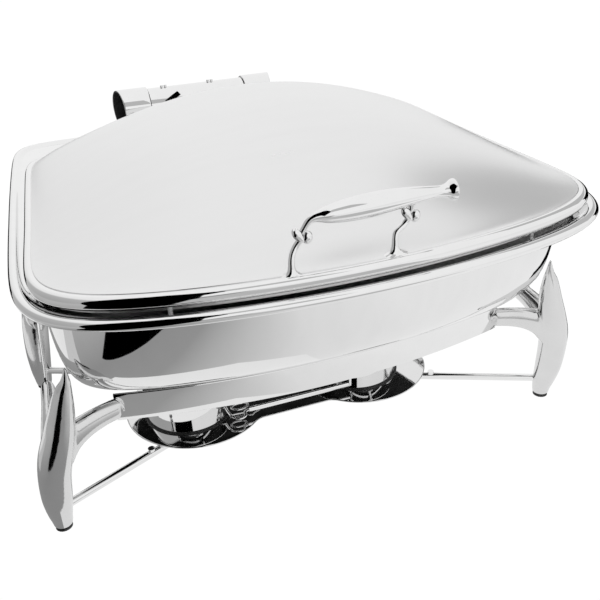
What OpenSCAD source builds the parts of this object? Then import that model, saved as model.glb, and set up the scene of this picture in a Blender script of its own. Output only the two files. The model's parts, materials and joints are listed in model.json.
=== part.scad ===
// Oblong chafing dish with a bowed front, a hinged domed lid and a four-legged stand
// that carries a tray with two fuel holders. Millimetres, +Z up, front towards -Y.
// The origin is on the floor, midway between the front of the rim and the back of the hinge.

/* [Water pan] */
// Half of the rim's width, midway along its sides
rim_half_w = 290; // [288:1:292]
// How far the middle of the rim's front edge lies in front of the origin
rim_front = 289; // [280:1:300]
// How far the rim's back edge lies behind the origin
rim_back = 282; // [278:1:286]
// Height of the flat top of the rim
rim_top = 294; // [288:1:300]
// Radius of the rolled edge of the rim
rim_bead_r = 5; // [4:0.5:6]
// Half of the pan's width below the rim
pan_half_w = 268; // [266:1:269]
// Height of the pan's flat bottom
pan_bottom = 158; // [156:1:160]
// Thickness of the formed sheet
sheet_t = 1.2; // [1:0.1:2]

/* [Lid] */
// Half of the lid's width, midway along its sides
lid_half_w = 274; // [273:1:276]
// How far the middle of the lid's front edge lies in front of the origin
lid_front = 277; // [270:1:280]
// How far the lid's back edge lies behind the origin
lid_back = 170; // [160:1:176]
// Rise of the dome above the lid's rolled edge
dome_rise = 74.5; // [60:0.5:86]
// Radius at the foot of the lid's rolled edge
lid_bead_r = 4.5; // [3.5:0.5:5]
// Height of the lid's rolled edge
lid_edge_h = 12.5; // [11:0.5:13]

/* [Food pan] */
// Width of the food pan's flange
food_w = 500; // [480:1:504]
// Depth of the food pan's flange, front to back
food_d = 310; // [290:1:312]
// How deep the food pan hangs below its flange
food_deep = 65; // [40:1:100]

/* [Hinge] */
// How far the hinge axis lies behind the origin
hinge_y = 262.5; // [260.5:0.5:264]
// Height of the hinge axis
hinge_z = 327; // [325:1:330]
// Outer radius of the collars at the ends of the hinge
collar_r = 26.5; // [26:0.5:28]
// Distance of the hinge's middle from the middle of the pan, towards the left
hinge_off = 22; // [0:1:30]
// Half of the length of the hinge
hinge_half_l = 112; // [108:1:118]
// Outer radius of the barrel between the collars
barrel_r = 24; // [22:0.5:25]
// Radius of the shaft through the hinge
shaft_r = 6; // [5:0.5:7]

/* [Handle] */
// Distance of the left post's foot from the middle of the lid
post_left = 71; // [66:1:74]
// Distance of the right post's foot from the middle of the lid
post_right = 23; // [20:1:30]
// Largest radius of the grip
grip_r = 10.5; // [9:0.5:12]

/* [Stand] */
// Distance of each foot from the middle, sideways
foot_x = 299; // [290:1:302]
// Distance of each foot from the middle, front to back
foot_y = 141; // [138:1:144]
// Height of a leg's pointed tip
leg_tip_z = 212; // [206:1:212]
// Height of the frame bands' lower edge
band_z = 113; // [108:1:116]
// Height of a band
band_h = 33; // [26:1:34]
// Thickness of a band
band_t = 3; // [2:0.5:4]
// Radius of the stretcher rods
rod_r = 4.5; // [4:0.5:5]
// Height of the stretcher rods' axes
rod_z = 24; // [22:1:26]

/* [Fuel tray] */
// Radius of each round end of the tray
lobe_r = 86; // [80:1:90]
// Half of the distance between the round ends' middles
lobe_x = 109.5; // [106:0.5:114]
// Half of the distance between the fuel holders
holder_x = 111; // [106:1:114]
// How far the fuel holders stand in front of the origin
holder_y = 31; // [26:1:34]
// Radius of a fuel holder's wall
holder_r = 52; // [46:1:53]
// Height of a fuel holder
holder_h = 38; // [34:1:42]

/* [Hidden] */

ring_n = 80;                 // points round each closed ring of the pan and the lid
corner_crowd = 8.4;          // degrees by which ring points crowd towards the corners
rim_bow = 48;                // how far the rim's front bows out past its corners
side_bow = 5;                // how far the sides bow out
taper = 11;                  // how far each side leans in from its middle to the back
front_corner = 7.3;          // squareness of the rim's and the lid's front corners
pan_corner = 5.5;            // squareness of the pan's front corners at its top
pan_corner_low = 10;         // squareness of the pan's front corners at its bottom
back_corner = 15;            // squareness of the back corners
plate_t = 2;                 // thickness of the deck plate
flange_drop = 3;             // how far the pan's flange lies below the top of the rim bead
wall_top = 283;              // height at which the pan's curved wall meets its flange
pan_front = 258;             // front of the pan at its top
pan_front_low = 154.5;       // front of the pan's flat bottom
pan_back = 168;              // back of the pan's wall
lid_gap = 2;                 // gap between the rim and the closed lid
food_y = -20;                // middle of the food pan, front to back
peak_at = 0.7;               // where the dome is highest, as a part of its depth
tray_z = rod_z + rod_r;      // underside of the fuel tray
tray_t = 2;                  // thickness of the fuel tray
holder_z = tray_z + tray_t;  // underside of the fuel holders
deck_z = rim_top - flange_drop;
lid_z = rim_top + lid_gap;
lid_top_edge = lid_z + lid_edge_h;
lid_shoulder_r = 5.5;        // radius at the top of the lid's rolled edge
lid_roll_in = 8;             // width of the lid's rolled edge, outside to dome
dome_half_w = 281;           // half width over which the dome's curve is drawn
web_t = 8;                   // thickness of the walls that close the hinge tubes
collar_l = 45;               // length of a collar
barrel_half = hinge_half_l - collar_l - 1;
web_inner = barrel_half - web_t;
spring_r = 13;               // radius of the springs' coils
spring_wire_r = 1.6;         // radius of the springs' wire
arm_x = 84;                  // distance of each hinge arm from the hinge's middle
arm_w = 22;                  // width of a hinge arm
arm_t = 8;                   // thickness of a hinge arm
run_fit = 0.05;              // radial clearance of a running fit
handle_y = -262;             // middle of the handle's grip, front to back
handle_z = 356;              // height of the grip's axis
knuckle_left = -62;          // where the left knuckle is, sideways
knuckle_right = 36;          // where the right knuckle is, sideways
post_y = -263;               // where the posts stand on the lid
post_tilt = 29;              // slope of the lid under the posts, in degrees
knuckle_r = 6.2;             // radius of a handle knuckle
knuckle_z = 341;             // height of the handle knuckles
band_end_x = 222;            // where a leg's arm takes hold of the front or rear band
band_end_y = 137;            // the same place, front to back
band_front = 165;            // how far the bands bow out in their middle
bend_r = (pow(band_end_x, 2) + pow(band_front - band_end_y, 2)) / (2 * (band_front - band_end_y));
band_hold = 8;               // length of a band's end inside a leg's arm
side_band_x = 286;           // distance of the side bands from the middle
side_band_end = 76;          // where a leg's arm takes hold of a side band
hub_r = 30;                  // radius of the hub that joins the stretcher rods
rod_angle = atan2(foot_y, foot_x);
support_x = 120;             // distance of the pan supports from the middle
tray_x = -13.5;              // middle of the tray, sideways
tray_y = -25;                // middle of the tray, front to back
neck_half = 60;              // half of the width of the tray's neck
neck_fillet = 20;            // radius where the neck meets the round ends
holders_mid = -23;           // middle of the two fuel holders, sideways
holder_base_r = holder_r + 2;
cover_z = holder_z + holder_h + 0.5;
cover_t = 2;                 // thickness of a snuffer's cover
pin_r = 3;                   // radius of a snuffer's pin
pin_back = 59;               // how far a snuffer's pin stands behind its holder's middle
grip_z = holder_z + 10;      // height of the long snuffer handle
rubber = [0.08, 0.08, 0.08];
steel = [0.86, 0.86, 0.87];

// ---------- Outlines and swept shapes ----------

// One point of a bowed oblong outline, at angle a round its middle.
function outline_point(a, w, yf, yb, bow, side, square) =
  let (
    ym = (yb - yf) / 2,
    b = (yb + yf) / 2,
    n = sin(a) < 0 ? square : back_corner,
    r = pow(pow(abs(cos(a)) / w, n) + pow(abs(sin(a)) / b, n), -1 / n),
    u = r * cos(a) / w,
    v = r * sin(a) / b
  )
  [u * (w - taper * v - side * v * v), ym + b * v + (v < 0 ? -bow * u * u * v : 0)];

// A ring of points at height z: half width w, front yf and back yb from the origin.
function ring(w, yf, yb, bow, side, z, square = front_corner) = [
  for (i = [0 : ring_n - 1])
    let (
      t = 360 * i / ring_n,
      p = outline_point(t + corner_crowd * sin(4 * t), w, yf, yb, bow, side, square)
    )
    [p[0], p[1], z]
];

// The same ring, moved inwards from the rim's outer edge by an even amount.
function rim_ring(inset, z) =
  ring(rim_half_w - inset, rim_front - inset, rim_back - inset, rim_bow, side_bow, z);
function lid_ring(inset, z) =
  ring(lid_half_w - inset, lid_front - inset, lid_back - inset, rim_bow - 2, 1, z);

// A solid through rings that all have the same number of points.
module loft(rings) {
  n = len(rings[0]);
  m = len(rings);
  polyhedron(
    points = [for (r = rings) for (p = r) p],
    faces = concat(
      [[for (i = [0 : n - 1]) i]],
      [for (k = [0 : m - 2]) for (i = [0 : n - 1])
        [k * n + i, (k + 1) * n + (i + 1) % n, k * n + (i + 1) % n]],
      [for (k = [0 : m - 2]) for (i = [0 : n - 1])
        [k * n + i, (k + 1) * n + i, (k + 1) * n + (i + 1) % n]],
      [[for (i = [n - 1 : -1 : 0]) (m - 1) * n + i]]
    ),
    convexity = 8
  );
}

function unit(v) = v / norm(v);

// A bar with an elliptical section along a path; each radius pair is [level, upright].
module sweep(path, radii, up = [0, 0, 1], n = 16) {
  last = len(path) - 1;
  loft([
    for (k = [0 : last])
      let (
        d = unit(path[min(k + 1, last)] - path[max(k - 1, 0)]),
        side = unit(cross(d, up)),
        over = cross(side, d)
      )
      [for (i = [0 : n - 1])
        path[k] + side * radii[k][0] * cos(360 * i / n) - over * radii[k][1] * sin(360 * i / n)]
  ]);
}

module mirror_copy_x() {
  children();
  mirror([1, 0, 0])
    children();
}

module mirror_copy_y() {
  children();
  mirror([0, 1, 0])
    children();
}

module round_rect(w, d, r) {
  square([w - 2 * r, d], center = true);
  square([w, d - 2 * r], center = true);
  for (sx = [-1, 1])
    for (sy = [-1, 1])
      translate([sx * (w / 2 - r), sy * (d / 2 - r)])
        circle(r, $fn = 48);
}

// A round bar on the hinge's axis, from x0 to x1 of the hinge's middle.
module x_rod(r, x0, x1) {
  translate([x0 - hinge_off, hinge_y, hinge_z])
    rotate([0, 90, 0])
      cylinder(r = r, h = x1 - x0, $fn = 64);
}

// ---------- Water pan, with its deck and the food pan ----------

// A ring of the pan's curved wall: t is 0 at its top and 90 at its flat bottom.
function wall_ring(t, inset) =
  let (s = 1 - cos(t))
  ring(
    pan_half_w - 16 * s - 20 * s * s - inset,
    pan_front - (pan_front - pan_front_low) * s - inset,
    pan_back - 22 * s * s - inset,
    rim_bow - 20 * s,
    side_bow,
    wall_top - (wall_top - pan_bottom - inset) * sin(t),
    pan_corner + (pan_corner_low - pan_corner) * s
  );

function wall_top_ring(inset, z) =
  ring(pan_half_w - inset, pan_front - inset, pan_back - inset, rim_bow, side_bow, z, pan_corner);

module water_pan() {
  bead_z = rim_top - rim_bead_r;
  flange_under = deck_z - sheet_t;
  color(steel)
    loft(concat(
      [for (t = [90, 78, 66, 54, 42, 30, 15, 0]) wall_ring(t, 0)],
      [wall_top_ring(0, flange_under), rim_ring(rim_bead_r, flange_under)],
      [for (a = [-90 : 30 : 90])
        rim_ring(rim_bead_r * (1 - cos(a)), bead_z + rim_bead_r * sin(a))],
      [rim_ring(rim_bead_r + 3, rim_top), rim_ring(rim_bead_r + 6, deck_z)],
      [wall_top_ring(sheet_t, deck_z)],
      [for (t = [0, 15, 30, 42, 54, 66, 78, 90]) wall_ring(t, sheet_t)]
    ));
}

// The deck's outline: it rests on the pan's flange all round.
function deck_ring() =
  ring(lid_half_w - 4, lid_front - 12, pan_back + 5, rim_bow - 2, side_bow, 0);

module deck_plate() {
  color(steel)
    translate([0, 0, deck_z])
      linear_extrude(plate_t)
        difference() {
          polygon([for (p = deck_ring()) [p[0], p[1]]]);
          translate([0, food_y])
            round_rect(food_w - 24, food_d - 24, 40);
        }
}

module food_pan() {
  flange_z = deck_z + plate_t;
  tub_w = food_w - 30;
  tub_d = food_d - 30;
  color(steel)
    translate([0, food_y, 0]) {
      translate([0, 0, flange_z])
        linear_extrude(sheet_t)
          difference() {
            round_rect(food_w, food_d, 42);
            round_rect(tub_w - 2 * sheet_t, tub_d - 2 * sheet_t, 36);
          }
      translate([0, 0, flange_z + sheet_t - food_deep])
        linear_extrude(food_deep - sheet_t)
          difference() {
            round_rect(tub_w, tub_d, 37);
            round_rect(tub_w - 2 * sheet_t, tub_d - 2 * sheet_t, 36);
          }
      translate([0, 0, flange_z - food_deep])
        linear_extrude(sheet_t)
          round_rect(tub_w, tub_d, 37);
    }
}

// Small studs in the gap that keep the lid off the rim.
module lid_bumpers() {
  color("white")
    mirror_copy_x() {
      translate([172, -251.5, deck_z])
        cylinder(r = 3, h = lid_z - deck_z - 0.3, $fn = 24);
      translate([260.5, 60, deck_z + plate_t])
        cylinder(r = 2.5, h = lid_z - deck_z - plate_t - 0.3, $fn = 24);
    }
}

// ---------- Hinge parts that stay on the pan ----------

module hinge_bracket() {
  foot_t = 3;
  color(steel)
    difference() {
      translate([-hinge_off, 0, 0]) {
        translate([-60, 232, deck_z])
          cube([120, 38, foot_t]);
        for (sx = [-1, 1])
          translate([sx * 46 - 10, hinge_y - 17, deck_z])
            cube([20, 25, hinge_z - deck_z - 10]);
      }
      x_rod(barrel_r, -barrel_half, barrel_half);
    }
}

// A place on the barrel's surface: x from the hinge's middle, turned towards the front.
module on_barrel(x, turn) {
  translate([x - hinge_off, hinge_y, hinge_z])
    rotate([turn, 0, 0])
      translate([0, 0, barrel_r])
        children();
}

module hinge_barrel() {
  color(steel)
    difference() {
      x_rod(barrel_r, -barrel_half, barrel_half);
      x_rod(barrel_r - 4, -web_inner, web_inner);
      x_rod(shaft_r + run_fit, -barrel_half - 1, barrel_half + 1);
      on_barrel(-36, 57)
        rotate([0, 0, 31])
          cube([23, 7, 12], center = true);
    }
}

module barrel_screws() {
  color(steel)
    for (place = [[-46, 0], [-41, 0], [19, 0], [24, 0], [58, 60]])
      on_barrel(place[0], place[1])
        translate([0, 0, -0.5])
          cylinder(r = 2, h = 3, $fn = 24);
}

// Close-wound torsion springs, each as one ribbed sleeve on the damper's tube.
module hinge_springs() {
  turns = 11;
  color("gray")
    for (sx = [-1, 1])
      translate([sx * 38 - hinge_off, hinge_y, hinge_z])
        rotate([0, 90, 0])
          rotate_extrude($fn = 48)
            for (i = [0 : turns - 1])
              translate([spring_r, (i - (turns - 1) / 2) * 1.9 * spring_wire_r])
                circle(spring_wire_r, $fn = 16);
}

module damper_cartridge() {
  color("dimgray")
    difference() {
      union() {
        x_rod(barrel_r - 4, -17, 17);
        x_rod(spring_r - spring_wire_r, -web_inner, web_inner);
      }
      x_rod(shaft_r + 1, -web_inner - 1, web_inner + 1);
    }
}

// ---------- Lid ----------

// Height of the dome at x, y; t insets it for the inner skin.
function dome(x, y, t) =
  let (
    u = min(1, abs(x) / (dome_half_w - t)),
    front = -(lid_front - lid_roll_in - t) + (rim_bow - 4) * u * u,
    back = lid_back - lid_roll_in - t,
    v = max(0, min(1, (y - front) / (back - front))),
    across = pow(1 - u * u, 1.2),
    along = v < peak_at
      ? 1 - pow(1 - v / peak_at, 2.2)
      : 1 - pow((v - peak_at) / (1 - peak_at), 5)
  )
  dome_rise * across * along;

// A ring of the dome, s times the size of its edge.
function dome_ring(s, t) =
  let (c = [0, -lid_front + peak_at * (lid_back + lid_front)])
  [
    for (p = lid_ring(lid_roll_in + t, 0))
      let (
        x = s * p[0],
        y = c[1] + s * (p[1] - c[1])
      )
      [x, y, lid_top_edge - t + dome(x, y, t) * (1 - pow(s, 24))]
  ];

module lid() {
  rise = [1, 0.98, 0.95, 0.91, 0.85, 0.77, 0.67, 0.55, 0.42, 0.28, 0.14, 0.03];
  color(steel)
    loft(concat(
      [for (k = [len(rise) - 1 : -1 : 0]) dome_ring(rise[k], sheet_t)],
      [lid_ring(lid_roll_in + sheet_t, lid_z), lid_ring(lid_bead_r + 1, lid_z)],
      [for (a = [-75 : 30 : 0])
        lid_ring(lid_bead_r * (1 - cos(a)), lid_z + lid_bead_r * (1 + sin(a)))],
      [for (a = [15 : 30 : 75])
        lid_ring(lid_shoulder_r * (1 - cos(a)), lid_top_edge - lid_shoulder_r * (1 - sin(a)))],
      [for (s = rise) dome_ring(s, 0)]
    ));
}

// ---------- Handle ----------

module handle_grip() {
  // distance along X from the middle, rise above the axis, radius
  profile = [
    [-61.5, -15, 2.8], [-57.5, -9.2, 2.8], [-54, -5.5, 3.2], [-48, -3, 4], [-38, -1.8, 6.6],
    [-22, -1, 9.4], [-2, -0.4, grip_r], [20, 0.6, 9.6], [43, 1, 7.4], [61, 0.6, 5.4],
    [70, 0, 6.4], [79, 0, 9.4]
  ];
  color(steel)
    difference() {
      sweep(
        [for (p = profile) [p[0], handle_y, handle_z + p[1]]],
        [for (p = profile) [p[2], p[2]]],
        up = [0, 1, 0]
      );
      knuckle(knuckle_left);
      knuckle(knuckle_right);
    }
}

// A ball at the head of a post, which holds the grip.
module knuckle(x) {
  translate([x, handle_y, x < 0 ? knuckle_z : knuckle_z + 1])
    sphere(knuckle_r, $fn = 48);
}

module handle_knuckles() {
  color(steel)
    for (x = [knuckle_left, knuckle_right]) {
      knuckle(x);
      translate([x + 8, handle_y, (x < 0 ? knuckle_z : knuckle_z + 1) - 7.2])
        sphere(4.5, $fn = 48);
    }
}

// A post on a flared foot, with a stud that passes through the lid.
module handle_post(foot, x) {
  seat = lid_top_edge + dome(foot, post_y, 0);
  color(steel)
    difference() {
      union() {
        translate([foot, post_y, seat])
          rotate([post_tilt, 0, 0]) {
            translate([0, 0, -0.4])
              cylinder(r1 = 6, r2 = 3.5, h = 3.4, $fn = 32);
            translate([0, 0, -9])
              cylinder(r = 2.5, h = 10, $fn = 32);
          }
        sweep(
          [[foot, post_y - 0.5, seat + 1.5], [foot, post_y - 1.2, seat + 8],
            [(foot + x) / 2, post_y - 2.5, knuckle_z - 14], [x, handle_y, knuckle_z - knuckle_r + 1]],
          [[3, 3], [2.6, 2.6], [2.6, 2.6], [3, 3]],
          up = [0, 1, 0]
        );
      }
      knuckle(x);
    }
}

module handle_post_left() {
  handle_post(-post_left, knuckle_left);
}

module handle_post_right() {
  handle_post(post_right, knuckle_right);
}

module handle_nuts() {
  color(steel)
    for (x = [-post_left, post_right])
      translate([x, post_y, lid_top_edge + dome(x, post_y, 0)])
        rotate([post_tilt, 0, 0])
          translate([0, 0, -8.6])
            difference() {
              cylinder(r = 5, h = 4, $fn = 6);
              translate([0, 0, -1])
                cylinder(r = 2.5, h = 6, $fn = 32);
            }
}

// ---------- Hinge parts that turn with the lid ----------

// Mirrors a part about the middle of the hinge when side is -1.
module at_hinge(side) {
  translate([-hinge_off, 0, 0])
    mirror([side < 0 ? 1 : 0, 0, 0])
      translate([hinge_off, 0, 0])
        children();
}

// An end collar: open outwards on a slant, with a wall that is pressed on the shaft.
module hinge_collar(side) {
  inner = hinge_half_l - collar_l;
  color(steel)
    at_hinge(side)
      difference() {
        x_rod(collar_r, inner, hinge_half_l);
        x_rod(collar_r - 2.5, inner + web_t, hinge_half_l + 1);
        x_rod(shaft_r, inner - 1, hinge_half_l + 1);
        translate([hinge_half_l - hinge_off, hinge_y + collar_r, hinge_z - 50])
          rotate([0, 0, -10.5])
            translate([0, -100, 0])
              cube([60, 200, 100]);
      }
}

module hinge_collar_left() {
  hinge_collar(-1);
}

module hinge_collar_right() {
  hinge_collar(1);
}

module hinge_arm(side) {
  front = lid_back - lid_roll_in - 0.5;
  color(steel)
    at_hinge(side)
      difference() {
        translate([arm_x - hinge_off - arm_w / 2, front, lid_top_edge])
          cube([arm_w, hinge_y - 14 - front, arm_t]);
        x_rod(collar_r, arm_x - arm_w, arm_x + arm_w);
      }
}

module hinge_arm_left() {
  hinge_arm(-1);
}

module hinge_arm_right() {
  hinge_arm(1);
}

module hinge_shaft() {
  half = hinge_half_l - collar_l + web_t;
  color("gray")
    x_rod(shaft_r, -half, half);
}

module arm_bolts() {
  color(steel)
    for (side = [-1, 1])
      for (dx = [-5, 5])
        translate([side * arm_x + dx - hinge_off, lid_back, lid_top_edge + arm_t])
          cylinder(r = 3.5, h = 2.5, $fn = 6);
}

// ---------- Stand ----------

// One cast leg, the front left one: a leaning horn with two short arms.
module leg() {
  horn = [
    [0, 0, 3], [0, 0, 12], [0, -3, 26], [1, -9, 50], [4, -15, 80], [9, -20, 106],
    [16, -23, 130], [23, -24, 155], [29, -27, 180], [34, -30, 196], [36, -31.5, leg_tip_z]
  ];
  horn_r = [9.5, 11.5, 13.5, 15.5, 16.5, 17, 15.5, 13.5, 9.5, 5, 1];
  front_arm = [
    [6, -18, 98], [14, -18, 112], [27, -15, 122], [44, -9, 127.5], [60, -3, 129.5],
    [foot_x - band_end_x, 3, 130]
  ];
  side_arm = [
    [6, -17, 98], [8, -5, 112], [10, 10, 122], [11.5, 28, 127.5], [12.5, 45, 129.5],
    [foot_x - side_band_x, foot_y - side_band_end, 130]
  ];
  arm_r = [16, 17, 15.5, 13.5, 12.5, 12];
  color(steel)
    translate([-foot_x, -foot_y, 0]) {
      sweep(horn, [for (r = horn_r) [r, r]], up = [1, 1, 0]);
      sweep(front_arm, [for (r = arm_r) [r * 0.65, r]]);
      sweep(side_arm, [for (r = arm_r) [r * 0.65, r]]);
    }
}

module leg_front_left() {
  leg();
}

module leg_front_right() {
  mirror([1, 0, 0])
    leg();
}

module leg_rear_left() {
  mirror([0, 1, 0])
    leg();
}

module leg_rear_right() {
  mirror([1, 0, 0])
    mirror([0, 1, 0])
      leg();
}

module foot_pads() {
  color(rubber)
    mirror_copy_x()
      mirror_copy_y()
        translate([foot_x, foot_y, 0])
          cylinder(r = 9, h = 3, $fn = 48);
}

// The bent strip of the front band, t thick, with its inner face at radius r.
module band_arc(r, t, z, h) {
  translate([0, bend_r - band_front, z])
    difference() {
      cylinder(r = r + t, h = h, $fn = 720);
      translate([0, 0, -1])
        cylinder(r = r, h = h + 2, $fn = 720);
    }
}

// A band that bows out towards the front; its ends are let into two legs' arms.
module front_band() {
  half = band_end_x + band_hold;
  color(steel)
    intersection() {
      band_arc(bend_r - band_t, band_t, band_z, band_h);
      translate([-half, -band_front - 1, band_z - 1])
        cube([2 * half, band_front, band_h + 2]);
    }
}

module rear_band() {
  mirror([0, 1, 0])
    front_band();
}

module right_band() {
  color(steel)
    translate([side_band_x - band_t / 2, -side_band_end - band_hold, band_z])
      cube([band_t, 2 * (side_band_end + band_hold), band_h]);
}

module left_band() {
  mirror([1, 0, 0])
    right_band();
}

module stretcher_rods() {
  reach = norm([foot_x, foot_y]) - 8;
  color(steel)
    difference() {
      mirror_copy_x()
        mirror_copy_y()
          translate([0, 0, rod_z])
            rotate([0, 0, rod_angle])
              translate([hub_r - 2, 0, 0])
                rotate([0, 90, 0])
                  cylinder(r = rod_r, h = reach - hub_r + 2, $fn = 32);
      cylinder(r = hub_r, h = rod_z + 2 * rod_r, $fn = 64);
    }
}

module rod_hub() {
  color(steel)
    translate([0, 0, rod_z - rod_r])
      cylinder(r = hub_r, h = 2 * rod_r, $fn = 64);
}

// Stop screws on the front rods, beside the tray's edge.
module rod_bolts() {
  color(steel)
    for (x = [-192, 172])
      translate([x, -abs(x) * foot_y / foot_x, tray_z])
        cylinder(r = 4, h = 3, $fn = 32);
}

// Brackets on the front and rear bands that carry the pan.
module pan_supports() {
  bracket_z = band_z + 8;
  color(steel)
    mirror_copy_x()
      mirror_copy_y() {
        difference() {
          translate([support_x - 12, -160, bracket_z])
            cube([24, 10, pan_bottom - bracket_z]);
          band_arc(bend_r - band_t, 12, bracket_z - 1, band_h + 12);
        }
        translate([support_x - 12, -150, pan_bottom - 2])
          cube([24, 50, 2]);
      }
}

// ---------- Fuel tray, holders and snuffers ----------

// A dog-bone outline: two round ends on a straight neck, with small fillets.
module fuel_tray() {
  reach = lobe_r + neck_fillet;
  fillet_y = neck_half + neck_fillet;
  fillet_x = lobe_x - sqrt(reach * reach - fillet_y * fillet_y);
  joint_x = lobe_x - (lobe_x - fillet_x) * lobe_r / reach;
  joint_y = fillet_y * lobe_r / reach;
  color("silver")
    translate([tray_x, tray_y, tray_z])
      linear_extrude(tray_t) {
        for (sx = [-1, 1])
          translate([sx * lobe_x, 0])
            circle(lobe_r, $fn = 96);
        difference() {
          square([2 * joint_x, 2 * joint_y], center = true);
          for (sx = [-1, 1])
            for (sy = [-1, 1])
              translate([sx * fillet_x, sy * fillet_y])
                circle(neck_fillet, $fn = 96);
          for (sy = [-1, 1])
            translate([-fillet_x, sy * (neck_half + neck_fillet / 2) - neck_fillet / 2])
              square([2 * fillet_x, neck_fillet]);
        }
      }
}

module at_holder(side) {
  translate([holders_mid + side * holder_x, -holder_y, 0])
    children();
}

// A round holder with a flat base rim and a lug for the snuffer's pin.
module fuel_holder(side) {
  wall = 1.5;
  color(steel)
    at_holder(side)
      difference() {
        union() {
          translate([0, 0, holder_z])
            cylinder(r = holder_base_r, h = 2, $fn = 96);
          translate([0, 0, holder_z])
            cylinder(r = holder_r, h = holder_h, $fn = 96);
          translate([-5, holder_r - 5, holder_z + 18])
            cube([10, pin_back - holder_r + 5, 8]);
          translate([0, pin_back, holder_z + 18])
            cylinder(r = 5, h = 8, $fn = 32);
        }
        translate([0, 0, holder_z + wall])
          cylinder(r = holder_r - wall, h = holder_h, $fn = 96);
        translate([0, pin_back, holder_z])
          cylinder(r = pin_r, h = holder_h, $fn = 32);
      }
}

module fuel_holder_left() {
  fuel_holder(-1);
}

module fuel_holder_right() {
  fuel_holder(1);
}

// A tin of gel fuel with an open mouth.
module fuel_can(side) {
  can_r = 42;
  can_h = 30;
  color("lightgray")
    at_holder(side)
      translate([0, 0, holder_z + 1.5])
        difference() {
          cylinder(r = can_r, h = can_h, $fn = 64);
          translate([0, 0, can_h - 8])
            cylinder(r = 24, h = 9, $fn = 48);
        }
}

module fuel_can_left() {
  fuel_can(-1);
}

module fuel_can_right() {
  fuel_can(1);
}

module snuffer_pin(side) {
  color(steel)
    at_holder(side)
      translate([0, pin_back, holder_z + 18])
        cylinder(r = pin_r, h = cover_z + cover_t + 1 - holder_z - 18, $fn = 32);
}

module snuffer_pin_left() {
  snuffer_pin(-1);
}

module snuffer_pin_right() {
  snuffer_pin(1);
}

// A flat cover with an ear that turns on the pin.
module snuffer(side) {
  color(steel)
    at_holder(side)
      difference() {
        union() {
          translate([0, 0, cover_z])
            cylinder(r = holder_r, h = cover_t, $fn = 96);
          translate([0, 0, cover_z + cover_t])
            cylinder(r1 = holder_r - 6, r2 = holder_r - 14, h = 3, $fn = 96);
          translate([-7, holder_r - 5, cover_z])
            cube([14, pin_back - holder_r + 5, cover_t]);
          translate([0, pin_back, cover_z])
            cylinder(r = 7, h = cover_t, $fn = 48);
        }
        translate([0, pin_back, cover_z - 1])
          cylinder(r = pin_r + run_fit, h = cover_t + 2, $fn = 32);
      }
}

module snuffer_left() {
  snuffer(-1);
}

module snuffer_right() {
  snuffer(1);
}

module finger_ring(r, wire) {
  rotate_extrude($fn = 48)
    translate([r, 0])
      circle(wire, $fn = 24);
}

// A short handle that stands out from the left cover, with a finger ring.
module snuffer_handle_left() {
  color(steel)
    at_holder(-1) {
      difference() {
        translate([holder_r - 4, -4, cover_z])
          cube([30, 8, cover_t]);
        translate([0, 0, cover_z - 1])
          cylinder(r = holder_r, h = cover_t + 2, $fn = 96);
      }
      translate([holder_r + 34, 0, cover_z + cover_t / 2])
        finger_ring(8.5, 1.4);
    }
}

// A long handle that drops beside the right holder and runs along the tray's neck.
module snuffer_handle_right() {
  bar_y = -53;
  bar_x = -160;
  drop_x = -34;
  color(steel)
    at_holder(1) {
      translate([drop_x, bar_y, grip_z])
        cube([8, 4, cover_z + cover_t - grip_z]);
      difference() {
        translate([drop_x, bar_y + 4, cover_z])
          cube([8, 20, cover_t]);
        translate([0, 0, cover_z - 1])
          cylinder(r = holder_r, h = cover_t + 2, $fn = 96);
      }
      translate([bar_x, bar_y, grip_z])
        cube([drop_x - bar_x, 4, 7]);
      translate([bar_x - 8.5, bar_y + 9, grip_z + 3.5])
        finger_ring(8.5, 1.8);
    }
}

// ---------- The parts ----------

water_pan();
deck_plate();
food_pan();
lid_bumpers();
hinge_bracket();
hinge_barrel();
barrel_screws();
hinge_springs();
damper_cartridge();
lid();
handle_grip();
handle_post_left();
handle_post_right();
handle_knuckles();
handle_nuts();
hinge_collar_left();
hinge_collar_right();
hinge_arm_left();
hinge_arm_right();
hinge_shaft();
arm_bolts();
leg_front_left();
leg_front_right();
leg_rear_left();
leg_rear_right();
foot_pads();
front_band();
rear_band();
left_band();
right_band();
stretcher_rods();
rod_hub();
rod_bolts();
pan_supports();
fuel_tray();
fuel_holder_left();
fuel_can_left();
snuffer_pin_left();
snuffer_left();
snuffer_handle_left();
fuel_holder_right();
fuel_can_right();
snuffer_pin_right();
snuffer_right();
snuffer_handle_right();
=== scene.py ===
import json
import math

import bpy
from mathutils import Matrix, Vector


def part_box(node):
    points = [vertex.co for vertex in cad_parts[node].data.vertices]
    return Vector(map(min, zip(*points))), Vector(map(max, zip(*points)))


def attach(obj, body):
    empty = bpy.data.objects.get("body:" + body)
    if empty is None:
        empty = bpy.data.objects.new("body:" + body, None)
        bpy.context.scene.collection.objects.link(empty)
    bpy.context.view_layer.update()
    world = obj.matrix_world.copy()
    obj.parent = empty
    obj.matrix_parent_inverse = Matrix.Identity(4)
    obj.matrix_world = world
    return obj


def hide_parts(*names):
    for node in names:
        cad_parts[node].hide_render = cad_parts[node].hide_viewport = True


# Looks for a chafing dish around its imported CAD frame.
# Lengths in this script are millimetres until a mesh is made, which is then in metres.
# +Z is up, and the handle side is towards -Y.

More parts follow.
